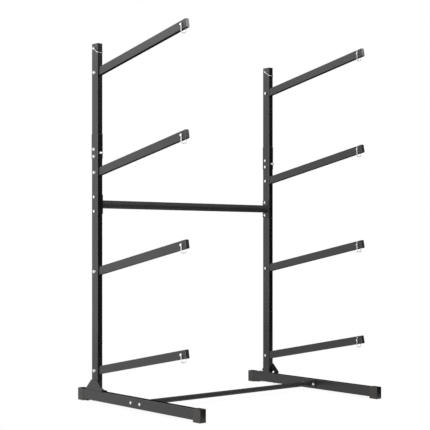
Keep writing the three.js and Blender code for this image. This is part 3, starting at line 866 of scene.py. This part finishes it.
def dress_boots(side, meshes):
    """The front boot opens towards +Y and the rear one, turned about, towards -Y."""
    front_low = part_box(f"boot_front_{side}")[0]
    rear_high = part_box(f"boot_rear_{side}")[1]
    for end, y, turn in (("front", front_low.y, 0), ("rear", rear_high.y, math.pi)):
        node = f"boot_{end}_{side}"
        place = Matrix.Translation((STANDS[side]["x"], y, front_low.z))
        matrix = place @ Matrix.Rotation(turn, 4, "Z")
        finished(f"{node}_fine", meshes[end], RUBBER, (node,), matrix)


# Arms and end caps


def cap_mesh(name, width, depth, corner, wall):
    """Cap whose flange rises from z = 0 and whose hollow plug hangs below it."""
    shrink = 2 * (wall + SEAT_GAP)
    plug_corner = inside_corner(corner, wall)
    plug = (width - shrink, depth - shrink, plug_corner)
    bore = (plug[0] - 2 * CAP_PLUG_WALL, plug[1] - 2 * CAP_PLUG_WALL, plug_corner / 2)
    rings = [
        rounded_ring(*bore, 0),
        rounded_ring(*bore, -CAP_PLUG),
        rounded_ring(*plug, -CAP_PLUG),
        rounded_ring(*plug, 0),
        *plate_rings(width, depth, corner, 0, CAP_THICKNESS, CAP_BEVEL),
    ]
    return skin_mesh(name, rings)


def dress_top_cap(side, cap):
    node = f"top_cap_{side}"
    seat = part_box(node)[1].z - CAP_THICKNESS
    finished(f"{node}_fine", cap, PLASTIC, (node,), on_axis(side, seat))


def arm_reach(cap_node, bolt, along):
    """How far the end of the CAD's arm cap lies from the arm's bolt."""
    points = (vertex.co for vertex in frame["nodes"][cap_node].data.vertices)
    return max(along.dot(point - bolt) for point in points)


def arm_heel(along):
    """How far the arm runs behind its bolt before its heel meets the upright's rear wall."""
    inside = UPRIGHT_DEPTH / 2 - UPRIGHT_WALL - SEAT_GAP
    return (inside - ARM_HEIGHT / 2 * along.z) / -along.y


def dress_arm(side, number, cap):
    bolt, along = arm_axis(side, number)
    node = f"arm_{side}_{number}"
    cap_node = f"arm_cap_{side}_{number}"
    cap_seat = arm_reach(cap_node, bolt, along) - CAP_THICKNESS
    mesh = tube_mesh(node, *ARM_SECTION, -arm_heel(along), cap_seat - SEAT_GAP)
    finished(f"{node}_tube", mesh, COAT, (node,), lined_up(bolt, along, Z))
    matrix = lined_up(bolt + along * cap_seat, along, Z)
    finished(f"{cap_node}_fine", cap, PLASTIC, (cap_node,), matrix)


# Cross bars


def dress_bar(node, radius, upward):
    """A round tube between two flange plates whose length runs along upward."""
    low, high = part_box(node)
    centre = (low + high) / 2
    half = (high.x - low.x) / 2
    inner = half - FLANGE_THICKNESS
    weld_end = inner + WELD_SINK
    rings = [
        circle_ring(radius, -weld_end, ROUND_SIDES),
        circle_ring(radius, weld_end, ROUND_SIDES),
        circle_ring(radius - BAR_WALL, weld_end, ROUND_SIDES),
        circle_ring(radius - BAR_WALL, -weld_end, ROUND_SIDES),
    ]
    matrix = lined_up(centre, X, upward)
    # The bar tube wears the paler copy of the coat, painted light
    finished(f"{node}_tube", skin_mesh(node, rings, closed=True), PAINTED_LIGHT_BAR_COAT, (node,), matrix)
    for side, outward in SIDES:
        bottom = -half if outward < 0 else inner
        top = bottom + FLANGE_THICKNESS
        rings = plate_rings(FLANGE_WIDTH, FLANGE_LENGTH, FLANGE_CORNER, bottom, top, PLATE_BEVEL)
        name = f"{node}_flange_{side}"
        finished(name, skin_mesh(name, rings), COAT, matrix=matrix)
        ring_bead(f"{node}_bead_{side}", centre + X * outward * inner, radius)


# Lock pins: the pin along local X with its head at -X, and the bail towards -Z


def pin_mesh(half_tube, leg):
    """The turned pin: chamfered tip, groove for the wire, shank and chamfered head."""
    neck = PIN_RADIUS - PIN_GROOVE_DEPTH
    seat = half_tube + SEAT_GAP
    head_end = seat + PIN_HEAD_LENGTH
    tip = -(leg + WIRE_RADIUS) - PIN_TIP_LENGTH
    profile = [
        (PIN_RADIUS - PIN_CHAMFER, tip),
        (PIN_RADIUS, tip + PIN_CHAMFER),
        (PIN_RADIUS, -(leg + WIRE_RADIUS)),
        (neck, -(leg + WIRE_RADIUS)),
        (neck, -(leg - WIRE_RADIUS)),
        (PIN_RADIUS, -(leg - WIRE_RADIUS)),
        (PIN_RADIUS, seat),
        (PIN_HEAD_RADIUS - END_BEVEL, seat),
        (PIN_HEAD_RADIUS, seat + END_BEVEL),
        (PIN_HEAD_RADIUS, head_end - PIN_CHAMFER),
        (PIN_HEAD_RADIUS - PIN_CHAMFER, head_end),
    ]
    mesh = skin_mesh("pin", [circle_ring(radius, along, PIN_SIDES) for radius, along in profile])
    mesh.transform(Matrix.Rotation(-QUARTER_TURN, 4, "Y"))
    return mesh


def bail_path(leg, reach):
    """The wire's centre line: down from the head, round two corners, up and round the tip's groove."""
    corner_x = leg - BAIL_CORNER
    corner_z = -(reach - BAIL_CORNER)
    wrap = PIN_RADIUS - PIN_GROOVE_DEPTH + WIRE_RADIUS - BAIL_BITE
    path = [Vector((-leg, 0, BAIL_STUB)), Vector((-leg, 0, 0))]
    corner_turns = [QUARTER_TURN * step / BAIL_CORNER_STEPS for step in range(BAIL_CORNER_STEPS + 1)]
    for turn in corner_turns:
        x = -corner_x - BAIL_CORNER * math.cos(turn)
        path.append(Vector((x, 0, corner_z - BAIL_CORNER * math.sin(turn))))
    for turn in corner_turns:
        x = corner_x + BAIL_CORNER * math.sin(turn)
        path.append(Vector((x, 0, corner_z - BAIL_CORNER * math.cos(turn))))
    for step in range(WRAP_STEPS + 1):
        share = 2 * step / WRAP_STEPS - 1
        aside = -wrap * (1 + math.cos(math.pi * share)) / 2
        path.append(Vector((leg, aside, WRAP_REACH * wrap * share)))
    path.append(Vector((leg, 0, BAIL_TAIL)))
    return path


def bail_mesh(leg, reach):
    rings = swept_rings(bail_path(leg, reach), lambda distance: WIRE_RADIUS, WIRE_SIDES)
    return skin_mesh("bail", rings, sharp_degrees=SHARP_WIRE_EDGE)


def lock_pin(side, outward, place, half_tube, reach, swing):
    """The pin called place on its stand, with its bail turned by the swing about the pin."""
    node = f"lock_pin_{side}_{place}"
    body = f"pin_{side}_{place}"
    leg = half_tube + BAIL_SIDE_GAP + WIRE_RADIUS
    facing = Matrix.Rotation(0 if outward < 0 else math.pi, 4, "Z")
    where = Matrix.Translation(joint_place(f"{body}_swing"))
    matrix = where @ Matrix.Rotation(swing, 4, "X") @ facing
    finished(f"{node}_shank", pin_mesh(half_tube, leg), ZINC, (node,), matrix, body)
    finished(f"{node}_bail", bail_mesh(leg, reach), ZINC, (), matrix, body)


def dress_pins(side, outward):
    """The arm pins' bails hang straight down, and the top pin's leans on the upright's front face."""
    for number in ARM_NUMBERS:
        lock_pin(side, outward, number, ARM_WIDTH / 2, BAIL_REACH, 0)
    clearance = UPRIGHT_DEPTH / 2 + WIRE_RADIUS + SEAT_GAP
    swing = math.acos(clearance / TOP_BAIL_REACH) - QUARTER_TURN
    lock_pin(side, outward, "top", UPRIGHT_WIDTH / 2, TOP_BAIL_REACH, swing)


# The object


def dress():
    lift = STANDS["left"]["foot"][0].z
    boots = {
        "front": boot_mesh("boot_front", lift, BOOT_FRONT_LENGTH),
        "rear": boot_mesh("boot_rear", lift, BOOT_REAR_LENGTH, TONGUE_LENGTH),
    }
    arm_cap = cap_mesh("arm_cap", *ARM_SECTION)
    top_cap = cap_mesh("top_cap", *UPRIGHT_SECTION)
    for side, outward in SIDES:
        dress_upright(side, outward)
        dress_foot(side)
        dress_boots(side, boots)
        for number in ARM_NUMBERS:
            dress_arm(side, number, arm_cap)
        dress_top_cap(side, top_cap)
        dress_bolts(side, outward)
        dress_pins(side, outward)
    dress_bar("upper_cross_bar", UPPER_BAR_RADIUS, Z)
    dress_bar("lower_cross_bar", LOWER_BAR_RADIUS, Y)


# Studio


# Camera: fitted to the stand's outline in the photo
CAMERA_PLACE = (-3.5443, -4.0888, 0.7727)
CAMERA_HEADING_DEGREES = -40.13
CAMERA_LENS = 90.76
CAMERA_SHIFT = 0.0680


def set_camera():
    data = bpy.data.cameras.new("camera")
    data.lens = CAMERA_LENS
    data.shift_y = CAMERA_SHIFT
    camera = bpy.data.objects.new("camera", data)
    camera.location = CAMERA_PLACE
    camera.rotation_euler = (QUARTER_TURN, 0, math.radians(CAMERA_HEADING_DEGREES))
    bpy.context.scene.collection.objects.link(camera)
    bpy.context.scene.camera = camera


def flat_mesh(name, width, height):
    """A rectangle in XY, centred on the origin."""
    bm = bmesh.new()
    corners = ((-1, -1), (1, -1), (1, 1), (-1, 1))
    bm.faces.new([bm.verts.new((sx * width / 2, sy * height / 2, 0)) for sx, sy in corners])
    mesh = bpy.data.meshes.new(name)
    bm.to_mesh(mesh)
    bm.free()
    return mesh


def shown_or_lit(nodes, shown, lit):
    """Shown for the camera's own rays and those that gloss or glass sends on, lit for all others."""
    rays = nodes.add("ShaderNodeLightPath").outputs
    mirrored = nodes.maths("MAXIMUM", rays["Is Glossy Ray"], rays["Is Transmission Ray"])
    either = nodes.add("ShaderNodeMixShader")
    nodes.link(nodes.maths("MAXIMUM", rays["Is Camera Ray"], mirrored), either.inputs["Fac"])
    nodes.link(lit, either.inputs[1])
    nodes.link(shown, either.inputs[2])
    return either.outputs["Shader"]


FLOOR_SIZE = 60
FLOOR_SHADE = 0.05
CONTACT_REACH = 0.05
CONTACT_SHADE = 0.93


def set_floor():
    """A floor that shows white but for a faint contact shadow, and sends little light up."""
    material = bpy.data.materials.new("floor")
    material.use_nodes = True
    nodes = Nodes(material.node_tree)
    near = nodes.add("ShaderNodeAmbientOcclusion")
    near.inputs["Distance"].default_value = CONTACT_REACH
    seen = nodes.add("ShaderNodeEmission")
    shade = nodes.blend(near.outputs["AO"], grey(CONTACT_SHADE), grey(1))
    nodes.link(shade, seen.inputs["Color"])
    lit = nodes.add("ShaderNodeBsdfDiffuse")
    lit.inputs["Color"].default_value = grey(FLOOR_SHADE)
    surface = shown_or_lit(nodes, seen.outputs["Emission"], lit.outputs["BSDF"])
    output = nodes.add("ShaderNodeOutputMaterial")
    nodes.link(surface, output.inputs["Surface"])
    new_object("floor", flat_mesh("floor", FLOOR_SIZE, FLOOR_SIZE), material)


# Black cards that stand or hang: middle, width, height, and turns about X and Z in degrees
CARDS = (
    ((2.1, -2.5, 1.48), 6.4, 2.84, 90, 40),
    ((3.2, 3.8, 1.86), 7.0, 3.6, 90, -40),
    ((2.6, 0.7, 3.6), 3.2, 3.2, 0, 0),
)
# Black cards that lie on the floor: the middle's X and Y, width, height, and turn about Z in degrees
FLOOR_CARDS = (
    (2.015, -2.37, 5.27, 3.38, 0),
    (-0.22, -0.44, 0.56, 0.48, 0),
    (0.93, -0.44, 0.6, 0.48, 0),
    (1.9, 2.3, 7.0, 4.0, -40),
)
FLOOR_CARD_LIFT = 0.004
CARD_SHADE = 0.01


def black_card(name, material, place, width, height, lean, turn):
    """A flat card that the camera doesn't see."""
    card = new_object(name, flat_mesh(name, width, height), material)
    card.location = place
    card.rotation_euler = (math.radians(lean), 0, math.radians(turn))
    card.visible_camera = False
    return card


def set_cards():
    """Cards that the coat mirrors.

    Those on the floor cast no shadow, so the floor's contact shade is the stand's alone.
    """
    black = Surface("black_card")
    black.shader.inputs["Base Color"].default_value = grey(CARD_SHADE)
    black.shader.inputs["Specular IOR Level"].default_value = 0
    for index, card in enumerate(CARDS):
        black_card(f"card_{index}", black.material, *card)
    for index, (x, y, width, height, turn) in enumerate(FLOOR_CARDS):
        place = (x, y, FLOOR_CARD_LIFT)
        card = black_card(f"floor_card_{index}", black.material, place, width, height, 0, turn)
        card.visible_shadow = False


# Soft boxes: name, middle, width, height, radiance
SOFT_BOXES = (
    ("side_panel", (-2.13, 2.52, 1.05), 4.2, 2.0, 0.3),
    ("top_panel", (-2.1, 2.5, 2.8), 4.2, 1.2, 1.2),
    ("left_panel", (-3.2, -0.7, 1.3), 3.0, 2.6, 3.5),
    ("high_box", (2.3, -3.0, 3.6), 3.0, 0.9, 5.0),
    ("camera_strip", (-4.1, -4.8, 1.1), 1.2, 2.0, 5.0),
)
LIT_POINT = Vector((0, 0, 1.3))


def set_soft_boxes():
    """Area lamps that face the lit point. Their energy gives the radiance at any size."""
    for name, place, width, height, radiance in SOFT_BOXES:
        data = bpy.data.lights.new(name, "AREA")
        data.shape = "RECTANGLE"
        data.size = width
        data.size_y = height
        data.energy = radiance * math.pi * width * height
        lamp = bpy.data.objects.new(name, data)
        lamp.location = place
        lamp.rotation_euler = (LIT_POINT - Vector(place)).to_track_quat("-Z", "Y").to_euler()
        lamp.visible_camera = False
        bpy.context.scene.collection.objects.link(lamp)


# Studio surroundings: a bright backdrop behind and to the left, a brighter panel high on it, a
# dim room in front and a darker ground. Each fade runs over the cosine to the backdrop's
# direction or over the direction's height.
BACKDROP_DIRECTION = (-0.75, 0.66, 0.0)
BACKDROP_FADE = (-0.1, 0.6)
BACKDROP_LEVEL = 0.6
ROOM_LEVEL = 0.2
HIGH_PANEL_FADE = (0.3, 0.8)
HIGH_PANEL_HEIGHTS = (0.15, 0.25)
HIGH_PANEL_LEVEL = 0.4
GROUND_HEIGHTS = (-0.3, 0)
GROUND_SHARE = 0.1


def set_world():
    """Lights the scene with the studio, while the camera, gloss and glass see white."""
    world = bpy.data.worlds.new("studio")
    world.use_nodes = True
    bpy.context.scene.world = world
    nodes = Nodes(world.node_tree)
    direction = nodes.add("ShaderNodeTexCoord").outputs["Generated"]
    toward = nodes.add("ShaderNodeVectorMath", operation="DOT_PRODUCT")
    nodes.link(direction, toward.inputs[0])
    toward.inputs[1].default_value = BACKDROP_DIRECTION
    facing = toward.outputs["Value"]
    split = nodes.add("ShaderNodeSeparateXYZ")
    nodes.link(direction, split.inputs[0])
    height = split.outputs["Z"]
    backdrop = nodes.spread(facing, ROOM_LEVEL, BACKDROP_LEVEL, BACKDROP_FADE)
    high = nodes.spread(height, 0, HIGH_PANEL_LEVEL, HIGH_PANEL_HEIGHTS)
    panel = nodes.maths("MULTIPLY", high, nodes.spread(facing, 0, 1, HIGH_PANEL_FADE))
    level = nodes.maths("ADD", backdrop, panel)
    above = nodes.spread(height, GROUND_SHARE, 1, GROUND_HEIGHTS)
    studio = nodes.add("ShaderNodeBackground")
    nodes.link(nodes.maths("MULTIPLY", level, above), studio.inputs["Strength"])
    white = nodes.add("ShaderNodeBackground")
    white.inputs["Color"].default_value = grey(1)
    surface = shown_or_lit(nodes, white.outputs["Background"], studio.outputs["Background"])
    output = nodes.add("ShaderNodeOutputWorld")
    nodes.link(surface, output.inputs["Surface"])


dress()
set_camera()
set_floor()
set_cards()
set_soft_boxes()
set_world()
bpy.context.scene.view_settings.view_transform = "Standard"
